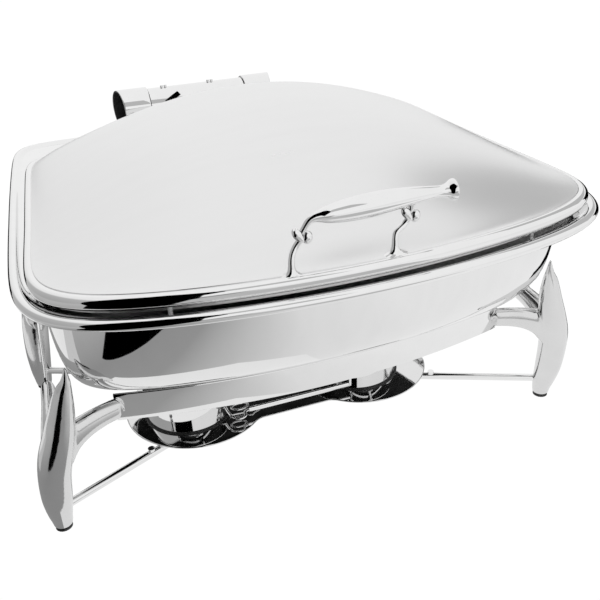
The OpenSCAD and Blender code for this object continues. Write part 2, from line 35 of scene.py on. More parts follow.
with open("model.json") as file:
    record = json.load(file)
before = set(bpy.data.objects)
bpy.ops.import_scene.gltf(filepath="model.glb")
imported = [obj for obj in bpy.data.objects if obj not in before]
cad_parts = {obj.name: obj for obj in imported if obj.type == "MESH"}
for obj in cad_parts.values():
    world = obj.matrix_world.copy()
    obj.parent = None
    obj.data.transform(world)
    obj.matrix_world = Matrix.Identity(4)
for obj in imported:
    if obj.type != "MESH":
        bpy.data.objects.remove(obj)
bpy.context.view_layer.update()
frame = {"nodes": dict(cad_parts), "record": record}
MM = 0.001


def cad_box_mm(node):
    lo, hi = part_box(node)
    return [c / MM for c in lo], [c / MM for c in hi]


# ---------- Driving sizes, from the frame ----------

pan_lo, pan_hi = cad_box_mm("water_pan")
lid_lo, lid_hi = cad_box_mm("lid")
collar_lo, collar_hi = cad_box_mm("hinge_collar_left")
barrel_lo, barrel_hi = cad_box_mm("hinge_barrel")
band_lo, band_hi = cad_box_mm("front_band")
side_lo, side_hi = cad_box_mm("right_band")
holder_lo, holder_hi = cad_box_mm("fuel_holder_right")
holder_left_lo, _ = cad_box_mm("fuel_holder_left")
tray_lo, tray_hi = cad_box_mm("fuel_tray")
pad_lo, pad_hi = cad_box_mm("foot_pads")
_, leg_hi = cad_box_mm("leg_front_left")
cover_lo, _ = cad_box_mm("snuffer_right")

RIM_TOP = pan_hi[2]
RIM_FRONT, RIM_BACK = -pan_lo[1], pan_hi[1]
RIM_HALF_W = 290
RIM_BEAD_R = 5
RIM_BOW = 48
TAPER = 11
SIDE_BOW = 5
PAN_BOTTOM = pan_lo[2]
PAN_HALF_W = 268
PAN_FRONT, PAN_FRONT_LOW, PAN_BACK = 258, 154.5, 168
FRONT_CORNER, BACK_CORNER = 7.3, 15
PAN_CORNER, PAN_CORNER_LOW = 5.5, 10
WALL_TOP = 283
SHEET = 1.2
DECK_Z = RIM_TOP - 3

LID_Z = lid_lo[2]
LID_FRONT, LID_BACK = -lid_lo[1], lid_hi[1]
LID_HALF_W = 274
LID_BEAD_R, LID_SHOULDER_R = 4.5, 5.5
LID_EDGE_TOP = LID_Z + 12.5
LID_ROLL_IN = 8
DOME_HALF_W = 281
DOME_RISE = lid_hi[2] - LID_EDGE_TOP
LID_BOW, DOME_BOW = RIM_BOW - 2, RIM_BOW - 4
DOME_PEAK = 0.7
DOME_FRONT_CURVE, DOME_BACK_CURVE, DOME_SIDE_CURVE = 2.2, 5, 1.2

HINGE_Y = (collar_lo[1] + collar_hi[1]) / 2
HINGE_Z = (collar_lo[2] + collar_hi[2]) / 2
COLLAR_R = (collar_hi[2] - collar_lo[2]) / 2
HINGE_X = (barrel_lo[0] + barrel_hi[0]) / 2
COLLAR_OUT, COLLAR_IN = HINGE_X - collar_lo[0], HINGE_X - collar_hi[0]
COLLAR_SLANT = math.tan(math.radians(10.5))

FOOT_X = (pad_hi[0] - pad_lo[0]) / 2 - 9
FOOT_Y = (pad_hi[1] - pad_lo[1]) / 2 - 9
PAD_H = pad_hi[2]
LEG_TIP_Z = leg_hi[2]
BAND_Z, BAND_H, BAND_T = band_lo[2], band_hi[2] - band_lo[2], 3
BAND_FRONT = -band_lo[1]
BAND_END_X, BAND_END_Y = 222, 137
SIDE_BAND_X = (side_lo[0] + side_hi[0]) / 2
SIDE_BAND_END = 76
ROD_R, ROD_Z, HUB_R = 4.5, 24, 30

TRAY_Z, TRAY_T = tray_lo[2], 2
TRAY_X, TRAY_Y = (tray_lo[0] + tray_hi[0]) / 2, (tray_lo[1] + tray_hi[1]) / 2
LOBE_R = (tray_hi[1] - tray_lo[1]) / 2
LOBE_X = (tray_hi[0] - tray_lo[0]) / 2 - LOBE_R
NECK_HALF, NECK_FILLET = 60, 20
HOLDER_R, HOLDER_BASE_R = 52, 54
HOLDER_X = {
    "left": holder_left_lo[0] + HOLDER_BASE_R, "right": holder_lo[0] + HOLDER_BASE_R,
}
HOLDER_Y = holder_lo[1] + HOLDER_BASE_R
HOLDER_Z, HOLDER_H = holder_lo[2], holder_hi[2] - holder_lo[2]
COVER_Z = cover_lo[2]
PIN_BACK = 59

STUD_X, STUD_Y = 172, -251.5

HANDLE_Y, HANDLE_Z = -262, 356
POST_Y = -263
POST_X = {"left": -71, "right": 23}
KNUCKLE_X = {"left": -62, "right": 36}
KNUCKLE_Z = {"left": 341, "right": 342}


# ---------- Materials ----------


def principled(name, color, metallic, roughness):
    mat = bpy.data.materials.new(name)
    mat.use_nodes = True
    shader = mat.node_tree.nodes["Principled BSDF"]
    shader.inputs["Base Color"].default_value = (*color, 1)
    shader.inputs["Metallic"].default_value = metallic
    shader.inputs["Roughness"].default_value = roughness
    return mat


def varied(name, color, metallic, roughness, spread, scale, grain=0):
    """A finish whose colour and gloss vary faintly with a fine noise; grain adds its bump."""
    mat = principled(name, (color,) * 3, metallic, roughness)
    nodes, links = mat.node_tree.nodes, mat.node_tree.links
    shader = nodes["Principled BSDF"]
    where = nodes.new("ShaderNodeTexCoord")
    mapping = nodes.new("ShaderNodeMapping")
    mapping.inputs["Scale"].default_value = scale
    noise = nodes.new("ShaderNodeTexNoise")
    noise.inputs["Scale"].default_value = 1
    noise.inputs["Detail"].default_value = 3
    ramp = nodes.new("ShaderNodeValToRGB")
    ramp.color_ramp.elements[0].position = 0.3
    ramp.color_ramp.elements[1].position = 0.7
    ramp.color_ramp.elements[0].color = (*(color - spread,) * 3, 1)
    ramp.color_ramp.elements[1].color = (*(color + spread,) * 3, 1)
    gloss = nodes.new("ShaderNodeMapRange")
    gloss.inputs["To Min"].default_value = roughness * 0.95
    gloss.inputs["To Max"].default_value = roughness * 1.05
    links.new(where.outputs["Object"], mapping.inputs["Vector"])
    links.new(mapping.outputs["Vector"], noise.inputs["Vector"])
    links.new(noise.outputs["Fac"], ramp.inputs["Fac"])
    links.new(noise.outputs["Fac"], gloss.inputs["Value"])
    links.new(ramp.outputs["Color"], shader.inputs["Base Color"])
    links.new(gloss.outputs["Result"], shader.inputs["Roughness"])
    if grain:
        bump = nodes.new("ShaderNodeBump")
        bump.inputs["Strength"].default_value = grain
        bump.inputs["Distance"].default_value = 0.3 * MM
        links.new(noise.outputs["Fac"], bump.inputs["Height"])
        links.new(bump.outputs["Normal"], shader.inputs["Normal"])
    return mat


FINE, GRAIN = (60, 60, 60), (900, 900, 900)
polished = varied("polished_steel", 0.86, 1, 0.04, 0.008, FINE)
dome_steel = varied("dome_steel", 0.83, 1, 0.28, 0.006, (9, 60, 30))
cast_steel = varied("cast_steel", 0.73, 1, 0.12, 0.015, (40, 40, 40))
body_steel = varied("body_steel", 0.83, 1, 0.04, 0.01, (60, 60, 8))
satin = varied("satin_steel", 0.72, 1, 0.3, 0.03, (20, 400, 20))
# Near-black steel for the pan's flat bottom: painted shade under the pan.
painted_shade_underside = varied("painted_shade_steel", 0.012, 1, 0.4, 0.006, FINE)
dark_steel = varied("dark_steel", 0.12, 1, 0.35, 0.03, FINE)
tray_steel = varied("tray_steel", 0.78, 1, 0.04, 0.008, FINE)
tin = varied("tin", 0.7, 1, 0.3, 0.03, (30, 30, 300))
rubber = varied("black_rubber", 0.012, 0, 0.6, 0.004, GRAIN, 0.3)
# Besides real black plastic parts, this finish paints shade in the collars' hollows and under the
# fuel holders.
black_plastic = varied("black_plastic", 0.02, 0, 0.5, 0.006, GRAIN, 0.2)
white_plastic = varied("white_plastic", 0.8, 0, 0.4, 0.02, GRAIN, 0.2)


# ---------- Mesh helpers ----------


def make(name, verts, faces, material, body, sharp=35):
    mesh = bpy.data.meshes.new(name)
    mesh.from_pydata([tuple(c * MM for c in v) for v in verts], [], faces)
    mesh.polygons.foreach_set("use_smooth", [True] * len(mesh.polygons))
    mesh.materials.append(material)
    mesh.validate()
    mesh.set_sharp_from_angle(angle=math.radians(sharp))
    obj = bpy.data.objects.new(name, mesh)
    bpy.context.scene.collection.objects.link(obj)
    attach(obj, body)
    return obj


def fitted(piece, node):
    """Hides the CAD node that a piece stands in for, and returns the piece."""
    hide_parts(node)
    return piece


def loft_data(rings, close=True):
    """Vertices and faces of a skin through rings of equal length, closed at both ends."""
    n = len(rings[0])
    verts = [p for ring in rings for p in ring]
    faces = [
        (k * n + i, k * n + (i + 1) % n, (k + 1) * n + (i + 1) % n, (k + 1) * n + i)
        for k in range(len(rings) - 1)
        for i in range(n)
    ]
    if close:
        faces.append(tuple(reversed(range(n))))
        faces.append(tuple((len(rings) - 1) * n + i for i in range(n)))
    return verts, faces


def loft(name, rings, material, body, close=True, sharp=35):
    return make(name, *loft_data(rings, close), material, body, sharp)


def smooth_path(points, steps=8):
    """Catmull-Rom points through tuples of any length."""
    out = []
    last = len(points) - 1
    for k in range(last):
        p0, p1 = points[max(k - 1, 0)], points[k]
        p2, p3 = points[k + 1], points[min(k + 2, last)]
        for s in range(steps):
            t = s / steps
            out.append(
                tuple(
                    0.5 * (2 * b + (c - a) * t + (2 * a - 5 * b + 4 * c - d) * t * t
                           + (3 * b - a - 3 * c + d) * t * t * t)
                    for a, b, c, d in zip(p0, p1, p2, p3)
                )
            )
    out.append(tuple(points[last]))
    return out


def sweep_rings(path, up, count=40):
    """Elliptical rings along (x, y, z, level radius, upright radius) tuples."""
    rings = []
    last = len(path) - 1
    for k, p in enumerate(path):
        ahead, behind = path[min(k + 1, last)], path[max(k - 1, 0)]
        along = (Vector(ahead[:3]) - Vector(behind[:3])).normalized()
        side = along.cross(Vector(up)).normalized()
        over = side.cross(along)
        rings.append(
            [
                tuple(
                    Vector(p[:3])
                    + side * p[3] * math.cos(a)
                    + over * p[4] * math.sin(a)
                )
                for a in (2 * math.pi * i / count for i in range(count))
            ]
        )
    return rings


def sweep(name, path, up, material, body, count=40):
    return loft(name, sweep_rings(path, up, count), material, body)


def filleted(points, radius, steps=5):
    """An open outline in a plane with its inner corners rounded."""
    out = [points[0]]
    for a, b, c in zip(points, points[1:], points[2:]):
        a, b, c = Vector(a), Vector(b), Vector(c)
        cut = min(radius, (a - b).length * 0.45, (c - b).length * 0.45)
        start, end = b + (a - b).normalized() * cut, b + (c - b).normalized() * cut
        for s in range(steps + 1):
            t = s / steps
            out.append(tuple(start * (1 - t) ** 2 + b * 2 * t * (1 - t) + end * t * t))
    out.append(points[-1])
    return out


def lathe(name, profile, at, material, body, axis="Z", round_by=0.6, count=128):
    """Turns (radius, height) pairs about an axis through at; ends on the axis are closed."""
    profile = filleted(profile, round_by) if round_by else profile
    turn = {"Z": lambda x, y, h: (x, y, h), "X": lambda x, y, h: (h, x, y)}[axis]
    verts, faces, rows = [], [], []
    for r, h in profile:
        if r < 1e-6:
            rows.append([len(verts)])
            verts.append(tuple(Vector(turn(0, 0, h)) + Vector(at)))
        else:
            rows.append([len(verts) + i for i in range(count)])
            verts += [
                tuple(Vector(turn(r * math.cos(a), r * math.sin(a), h)) + Vector(at))
                for a in (2 * math.pi * i / count for i in range(count))
            ]
    for low, high in zip(rows, rows[1:]):
        for i in range(count):
            j = (i + 1) % count
            if len(low) == 1 and len(high) > 1:
                faces.append((low[0], high[j], high[i]))
            elif len(high) == 1 and len(low) > 1:
                faces.append((low[i], low[j], high[0]))
            elif len(low) > 1:
                faces.append((low[i], low[j], high[j], high[i]))
    return make(name, verts, faces, material, body)


def ball(name, at, r, material, body, squash=(1, 1, 1)):
    steps = 24
    profile = [
        (r * math.sin(math.pi * k / steps), -r * math.cos(math.pi * k / steps))
        for k in range(steps + 1)
    ]
    profile[0], profile[-1] = (0, -r), (0, r)
    obj = lathe(name, profile, (0, 0, 0), material, body, round_by=0, count=48)
    for v in obj.data.vertices:
        v.co = Vector([c * s for c, s in zip(v.co, squash)]) + Vector(at) * MM
    return obj


def wire_ring(name, at, r, wire, normal, material, body, stretch=1.0):
    """A closed loop of wire about a point, stretched along its first direction."""
    normal = Vector(normal).normalized()
    first = normal.orthogonal().normalized() if abs(normal.z) < 0.9 else Vector((1, 0, 0))
    second = normal.cross(first)
    count, around = 64, 16
    verts, faces = [], []
    for i in range(count):
        a = 2 * math.pi * i / count
        centre = Vector(at) + first * r * stretch * math.cos(a) + second * r * math.sin(a)
        out = (first * math.cos(a) + second * math.sin(a)).normalized()
        for j in range(around):
            b = 2 * math.pi * j / around
            verts.append(tuple(centre + out * wire * math.cos(b) + normal * wire * math.sin(b)))
    for i in range(count):
        for j in range(around):
            k, m = (i + 1) % count, (j + 1) % around
            faces.append((i * around + j, k * around + j, k * around + m, i * around + m))
    return make(name, verts, faces, material, body)


# ---------- Outlines ----------


def outline(half_w, front, back, bow, side, square=FRONT_CORNER, count=288):
    """A bowed oblong, as points (x, y): wider in front of its middle than behind it."""
    mid, half = (back - front) / 2, (back + front) / 2
    points = []
    for i in range(count):
        t = 2 * math.pi * i / count
        t += math.radians(8.4) * math.sin(4 * t)
        n = square if math.sin(t) < 0 else BACK_CORNER
        r = (abs(math.cos(t) / half_w) ** n + abs(math.sin(t) / half) ** n) ** (-1 / n)
        u, v = r * math.cos(t) / half_w, r * math.sin(t) / half
        bowed = -bow * u * u * v if v < 0 else 0
        points.append((u * (half_w - TAPER * v - side * v * v), mid + half * v + bowed))
    return points


def rim_ring(inset, z):
    pts = outline(RIM_HALF_W - inset, RIM_FRONT - inset, RIM_BACK - inset, RIM_BOW, SIDE_BOW)
    return [(x, y, z) for x, y in pts]


def lid_ring(inset, z):
    pts = outline(LID_HALF_W - inset, LID_FRONT - inset, LID_BACK - inset, LID_BOW, 1)
    return [(x, y, z) for x, y in pts]


def wall_ring(t, inset):
    """The pan's curved wall: t is 0 at its top and a quarter turn at its flat bottom."""
    s = 1 - math.cos(t)
    pts = outline(
        PAN_HALF_W - 16 * s - 20 * s * s - inset,
        PAN_FRONT - (PAN_FRONT - PAN_FRONT_LOW) * s - inset,
        PAN_BACK - 22 * s * s - inset,
        RIM_BOW - 20 * s,
        SIDE_BOW,
        PAN_CORNER + (PAN_CORNER_LOW - PAN_CORNER) * s,
    )
    z = WALL_TOP - (WALL_TOP - PAN_BOTTOM - inset) * math.sin(t)
    return [(x, y, z) for x, y in pts]


def wall_top_ring(inset, z):
    pts = outline(
        PAN_HALF_W - inset, PAN_FRONT - inset, PAN_BACK - inset, RIM_BOW, SIDE_BOW, PAN_CORNER
    )
    return [(x, y, z) for x, y in pts]


def dome_height(x, y, inset):
    u = min(1, abs(x) / (DOME_HALF_W - inset))
    front = -(LID_FRONT - LID_ROLL_IN - inset) + DOME_BOW * u * u
    back = LID_BACK - LID_ROLL_IN - inset
    v = max(0, min(1, (y - front) / (back - front)))
    if v < DOME_PEAK:
        along = 1 - (1 - v / DOME_PEAK) ** DOME_FRONT_CURVE
    else:
        along = 1 - ((v - DOME_PEAK) / (1 - DOME_PEAK)) ** DOME_BACK_CURVE
    return DOME_RISE * (1 - u * u) ** DOME_SIDE_CURVE * along


def dome_ring(s, inset):
    mid = -LID_FRONT + DOME_PEAK * (LID_BACK + LID_FRONT)
    ring = []
    for x0, y0, _ in lid_ring(LID_ROLL_IN + inset, 0):
        x, y = s * x0, mid + s * (y0 - mid)
        ring.append((x, y, LID_EDGE_TOP - inset + dome_height(x, y, inset) * (1 - s**24)))
    return ring


# ---------- Water pan ----------

quarter = [math.radians(a) for a in range(90, -1, -5)]
bead_z = RIM_TOP - RIM_BEAD_R
outer_wall = [wall_ring(t, 0) for t in quarter]
bead = [
    rim_ring(RIM_BEAD_R * (1 - math.cos(a)), bead_z + RIM_BEAD_R * math.sin(a))
    for a in (math.radians(d) for d in range(-90, 91, 10))
]
pan_rings = (
    outer_wall
    + [wall_top_ring(0, DECK_Z - SHEET - 1), wall_top_ring(-1, DECK_Z - SHEET)]
    + [rim_ring(RIM_BEAD_R + 1, DECK_Z - SHEET), rim_ring(RIM_BEAD_R, DECK_Z - SHEET - 1)]
    + bead
    + [rim_ring(RIM_BEAD_R + 2, RIM_TOP - 0.2), rim_ring(RIM_BEAD_R + 4, RIM_TOP - 1.5)]
    + [rim_ring(RIM_BEAD_R + 6, DECK_Z + 0.1), rim_ring(RIM_BEAD_R + 8, DECK_Z)]
    + [wall_top_ring(SHEET, DECK_Z), wall_top_ring(SHEET, WALL_TOP)]
    + [wall_ring(t, SHEET) for t in reversed(quarter)]
)
pan = loft("water_pan_shell", pan_rings, body_steel, "pan", sharp=50)
fitted(pan, "water_pan")
pan.data.materials.append(polished)
pan.data.materials.append(painted_shade_underside)
ring_n = len(pan_rings[0])
wall_faces = (len(outer_wall) - 1) * ring_n
for i, face in enumerate(pan.data.polygons):
    if i >= wall_faces:
        face.material_index = 1
    # The flat bottom faces take the near-black steel as painted shade.
    if face.center.z < (PAN_BOTTOM + 0.4) * MM:
        face.material_index = 2

# ---------- Lid ----------

levels = [1 - (k / 48) ** 1.6 for k in range(48)] + [0.004]
lid_rings = (
    [dome_ring(s, SHEET) for s in reversed(levels)]
    + [lid_ring(LID_ROLL_IN + SHEET, LID_Z + 1), lid_ring(LID_ROLL_IN + 1, LID_Z)]
    + [lid_ring(LID_BEAD_R + 1, LID_Z)]
    + [
        lid_ring(LID_BEAD_R * (1 - math.cos(a)), LID_Z + LID_BEAD_R * (1 + math.sin(a)))
        for a in (math.radians(d) for d in range(-80, 1, 10))
    ]
    + [
        lid_ring(
            LID_SHOULDER_R * (1 - math.cos(a)), LID_EDGE_TOP - LID_SHOULDER_R * (1 - math.sin(a))
        )
        for a in (math.radians(d) for d in range(0, 81, 10))
    ]
    + [lid_ring(LID_ROLL_IN - 1.2, LID_EDGE_TOP - 0.5)]
    + [lid_ring(LID_ROLL_IN - 0.4, LID_EDGE_TOP - 0.6)]
    + [dome_ring(s, 0) for s in levels]
)
lid = loft("lid_shell", lid_rings, polished, "lid_assembly", sharp=50)
fitted(lid, "lid")
lid.data.materials.append(dome_steel)
top_from = (len(lid_rings) - len(levels) - 1) * ring_n
for i, face in enumerate(lid.data.polygons):
    if i >= top_from and i < (len(lid_rings) - 1) * ring_n or i == len(lid.data.polygons) - 1:
        face.material_index = 1
    elif i < len(levels) * ring_n:
        face.material_index = 1

# ---------- Handle ----------

grip_line = [
    (-60, -14, 2.9), (-57, -9, 2.8), (-54, -5, 3.1), (-50, -2.8, 3.8), (-44.5, -2, 5.2),
    (-36, -1.8, 7.6), (-22, -1.2, 9.5), (-2, -0.4, 10.4), (20, 0.6, 9.5), (42, 1, 7.4),
    (58, 0.8, 5.6), (66, 0.4, 5.2), (71.5, 0.1, 6.4), (75.5, 0, 8.6), (78, 0, 9.6),
]
grip_path = [
    (x, HANDLE_Y, HANDLE_Z + dz, r, r) for x, dz, r in smooth_path(grip_line, 6)
]
end_x, _, _, end_r, _ = grip_path[-1]
grip_path += [
    (end_x + 0.9, HANDLE_Y, HANDLE_Z, end_r, end_r),
    (end_x + 1.3, HANDLE_Y, HANDLE_Z, end_r - 0.5, end_r - 0.5),
    (end_x + 1.2, HANDLE_Y, HANDLE_Z, end_r - 1.2, end_r - 1.2),
    (end_x + 0.2, HANDLE_Y, HANDLE_Z, end_r - 4, end_r - 4),
    (end_x, HANDLE_Y, HANDLE_Z, 0.4, 0.4),
]
fitted(sweep("grip", grip_path, (0, 1, 0), polished, "lid_assembly"), "handle_grip")

for side in ("left", "right"):
    foot, x, head = POST_X[side], KNUCKLE_X[side], KNUCKLE_Z[side]
    seat = LID_EDGE_TOP + dome_height(foot, POST_Y, 0)
    stem = smooth_path(
        [
            (foot, POST_Y - 2, seat - 3.6, 14, 6), (foot, POST_Y - 2, seat - 2.2, 10, 5),
            (foot, POST_Y - 2, seat - 0.6, 6, 4.2), (foot, POST_Y - 1.8, seat + 1.6, 3.9, 3.5),
            (foot, POST_Y - 1.5, seat + 5, 3, 3), (foot + 0.3, POST_Y - 1, seat + 10, 2.7, 2.7),
            (foot + 2, POST_Y, head - 15, 2.7, 2.7), (x - 3.5, HANDLE_Y, head - 9.5, 2.9, 2.9),
            (x, HANDLE_Y, head - 5, 2.9, 2.9),
        ]
    )
    post = sweep(f"post_{side}", stem, (0, 1, 0), polished, "lid_assembly", 32)
    fitted(post, f"handle_post_{side}")
    # Each knuckle is an S: a slanted blade with a round lobe beside it.
    blade = sweep(
        f"knuckle_blade_{side}",
        smooth_path([
            (x - 4.6, HANDLE_Y, head + 5.4, 0.6, 0.6),
            (x - 4.4, HANDLE_Y, head + 4.8, 2.6, 2.4),
            (x - 2.6, HANDLE_Y - 0.5, head + 1.5, 3.9, 3.2),
            (x - 0.4, HANDLE_Y - 0.8, head - 2, 3.6, 3.2),
            (x + 2, HANDLE_Y - 1, head - 5.2, 2.6, 2.6),
            (x + 2.8, HANDLE_Y - 1, head - 6.2, 0.6, 0.6),
        ]),
        (0, 1, 0), polished, "lid_assembly", 32,
    )
    knob = ball(
        f"knuckle_ball_{side}", (x + 6.2, HANDLE_Y - 1, head - 2.8), 5, polished, "lid_assembly",
        squash=(0.92, 0.8, 1.18),
    )
    fitted(blade, "handle_knuckles")
    fitted(knob, "handle_knuckles")
    if side == "right":
        stub = sweep(
            "knuckle_stub_right",
            smooth_path([
                (x + 1, HANDLE_Y, head, 2.6, 2.6), (x + 2.5, HANDLE_Y, head + 4, 2.8, 2.8),
                (x + 3, HANDLE_Y, head + 8, 3.4, 3.4),
            ]),
            (0, 1, 0), polished, "lid_assembly", 24,
        )
        fitted(stub, "handle_knuckles")

# ---------- Hinge ----------

mean_out = COLLAR_OUT - COLLAR_R * COLLAR_SLANT
for side, sign in (("left", -1), ("right", 1)):
    inner, outer = sign * COLLAR_IN, sign * mean_out
    collar = lathe(
        f"collar_{side}",
        [
            (6, inner), (COLLAR_R, inner), (COLLAR_R, outer), (COLLAR_R - 2.5, outer),
            (COLLAR_R - 2.5, sign * (COLLAR_IN + 8)), (6, sign * (COLLAR_IN + 8)),
        ],
        (HINGE_X, HINGE_Y, HINGE_Z), polished, "lid_assembly", axis="X", round_by=1.2,
    )
    # The open end is cut on a slant: its far side reaches further out.
    for v in collar.data.vertices:
        along = (abs(v.co.x / MM - HINGE_X) - COLLAR_IN) / (mean_out - COLLAR_IN)
        v.co.x += sign * (v.co.y - HINGE_Y * MM) * COLLAR_SLANT * max(0, along)
    fitted(collar, f"hinge_collar_{side}")
    # The hollow inside each collar's open end takes the black finish: painted shade in the recess.
    collar.data.materials.append(black_plastic)
    for face in collar.data.polygons:
        x, y, z = face.center / MM
        if abs(x - HINGE_X) > COLLAR_IN + 4 and math.hypot(y - HINGE_Y, z - HINGE_Z) < COLLAR_R - 2:
            face.material_index = 1

# ---------- Legs ----------

HORN = [
    (0, 0, PAD_H, 9.3, 9.3), (0, 0, PAD_H + 3, 10.2, 10.2), (0, -0.5, 14, 11.4, 11.4),
    (0, -3, 26, 13.3, 13.3), (1, -9, 50, 15.6, 15.6), (4, -15, 80, 16.5, 16.5),
    (9, -20, 106, 16.8, 16.8), (16, -23, 130, 15.5, 15.5), (23, -24, 155, 13.2, 13.2),
    (29, -27, 180, 9.3, 9.3), (34, -30, 196, 4.8, 4.8), (36, -31.5, LEG_TIP_Z, 1, 1),
]
FRONT_ARM = [
    (4, -17, 84, 10, 12), (8, -18, 98, 10.5, 16), (15, -18, 111, 10, 17.5), (27, -15, 121, 9, 16),
    (43, -9.5, 127, 8.3, 13.6), (60, -3, 129.5, 7.8, 12.3), (76, 2.6, 130, 7.6, 11.6),
    (78, 3.2, 130, 6.6, 10.6),
]
SIDE_ARM = [
    (4, -16, 84, 12, 12), (6.5, -13, 98, 12, 16), (8.5, -4, 111, 11, 17.5), (10, 10, 121, 9.5, 16),
    (11.5, 28, 127, 8.3, 13.6), (12.5, 45, 129.5, 7.8, 12.3), (13, 64, 130, 7.6, 11.6),
    (13, 66, 130, 6.6, 10.6),
]


def leg(name, sx, sy):
    """One cast leg: a horn and two arms, fused by a fine remesh."""
    verts, faces = [], []
    for line, up in ((HORN, (1, 1, 0)), (FRONT_ARM, (0, 0, 1)), (SIDE_ARM, (0, 0, 1))):
        v, f = loft_data(sweep_rings(smooth_path(line, 6), up, 32))
        faces += [tuple(i + len(verts) for i in face) for face in f]
        verts += v
    placed = [((x - FOOT_X) * sx, (y - FOOT_Y) * sy, z) for x, y, z in verts]
    if sx * sy < 0:
        faces = [tuple(reversed(face)) for face in faces]
    obj = make(name, placed, faces, cast_steel, "stand")
    remesh = obj.modifiers.new("fuse", "REMESH")
    remesh.mode = "VOXEL"
    remesh.voxel_size = 1.4 * MM
    remesh.use_smooth_shade = True
    relax = obj.modifiers.new("relax", "SMOOTH")
    relax.factor = 0.5
    relax.iterations = 6
    return fitted(obj, name.replace("cast_", ""))


for end, sy in (("front", 1), ("rear", -1)):
    for side, sx in (("left", 1), ("right", -1)):
        leg(f"cast_leg_{end}_{side}", sx, sy)

# ---------- Bands ----------


def strip(name, line, z, height, thick, replaces):
    """An upright strip with rounded edges along a level line of (x, y) points."""
    edge = thick / 2
    half = height / 2
    section = [
        (edge * math.cos(a), (half - edge) * (1 if math.sin(a) >= 0 else -1) + edge * math.sin(a))
        for a in (math.radians(d) for d in (0, 20, 45, 70, 90, 110, 135, 160, 180,
                                            200, 225, 250, 270, 290, 315, 340))
    ]
    rings = []
    last = len(line) - 1
    for k, (x, y) in enumerate(line):
        ahead, behind = line[min(k + 1, last)], line[max(k - 1, 0)]
        along = Vector((ahead[0] - behind[0], ahead[1] - behind[1], 0)).normalized()
        across = along.cross(Vector((0, 0, 1)))
        rings.append(
            [tuple(Vector((x, y, z + half + b)) + across * a) for a, b in section]
        )
    return fitted(loft(name, rings, polished, "stand", sharp=60), replaces)


rise = BAND_FRONT - BAND_END_Y
bend_r = (BAND_END_X**2 + rise**2) / (2 * rise) - BAND_T / 2
bend_half = math.asin((BAND_END_X + 2) / bend_r)
for end, sy in (("front", -1), ("rear", 1)):
    arc = [
        (bend_r * math.sin(a), sy * (bend_r * math.cos(a) - bend_r + BAND_FRONT - BAND_T / 2))
        for a in (bend_half * (k / 24 - 1) for k in range(49))
    ]
    strip(f"band_{end}", arc, BAND_Z, BAND_H, BAND_T, f"{end}_band")
for side, sx in (("left", -1), ("right", 1)):
    line = [(sx * SIDE_BAND_X, SIDE_BAND_END * (k / 4 - 1)) for k in range(9)]
    strip(f"band_{side}", line, BAND_Z, BAND_H, BAND_T, f"{side}_band")

# ---------- Rods ----------

reach = math.hypot(FOOT_X, FOOT_Y)
for sx in (-1, 1):
    for sy in (-1, 1):
        way = Vector((sx * FOOT_X, sy * FOOT_Y, 0)) / reach
        line = [
            (*(way * d)[:2], ROD_Z, r, r)
            for d, r in ((HUB_R - 1, ROD_R), (reach / 2, ROD_R), (reach - 8, ROD_R))
        ]
        end = "front" if sy < 0 else "rear"
        side = "left" if sx < 0 else "right"
        rod = sweep(f"rod_{end}_{side}", line, (0, 0, 1), polished, "stand", 32)
        fitted(rod, "stretcher_rods")

hub = lathe(
    "hub",
    [(0, ROD_Z - ROD_R), (HUB_R, ROD_Z - ROD_R), (HUB_R, ROD_Z + ROD_R), (0, ROD_Z + ROD_R)],
    (0, 0, 0), polished, "stand", round_by=1.5,
)
fitted(hub, "rod_hub")

# ---------- Fuel tray ----------


def tray_outline(grow):
    """The tray's dog-bone outline about its middle: round ends on a straight neck."""
    lobe, half, fillet = LOBE_R + grow, NECK_HALF + grow, NECK_FILLET - grow
    reach = lobe + fillet
    fillet_y = half + fillet
    fillet_x = LOBE_X - math.sqrt(reach**2 - fillet_y**2)
    turn = math.atan2(fillet_y, LOBE_X - fillet_x)
    pts = []
    for k in range(65):
        a = (math.pi - turn) * (k / 32 - 1)
        pts.append((LOBE_X + lobe * math.cos(a), lobe * math.sin(a)))
    for k in range(1, 13):
        a = turn + (math.pi / 2 - turn) * k / 12
        pts.append((fillet_x + fillet * math.cos(a), fillet_y - fillet * math.sin(a)))
    for k in range(12):
        a = math.pi / 2 + (math.pi / 2 - turn) * k / 12
        pts.append((fillet * math.cos(a) - fillet_x, fillet_y - fillet * math.sin(a)))
    return pts + [(-x, -y) for x, y in pts]


tray_profile = [(-1.2, 0), (-0.3, 0.3), (0, 1), (-0.3, 1.7), (-1.2, TRAY_T)]
tray_rings = [
    [(x + TRAY_X, y + TRAY_Y, TRAY_Z + h) for x, y in tray_outline(grow)]
    for grow, h in tray_profile
]
fitted(loft("tray", tray_rings, tray_steel, "stand", sharp=60), "fuel_tray")

# ---------- Fuel holders and their covers ----------


def tongue(name, at, layers, body):
    """A round-ended tongue from a holder's side back to its pin: (half width, height) layers."""
    root = PIN_BACK - HOLDER_R + 2
    rim = [(math.pi * k / 12, 0) for k in range(13)] + [(math.pi, root), (0, root)]
    rings = [
        [
            (at[0] + w * math.cos(a), at[1] + PIN_BACK + w * math.sin(a) - pull, at[2] + h)
            for a, pull in rim
        ]
        for w, h in layers
    ]
    return make(name, *loft_data(rings), polished, body)


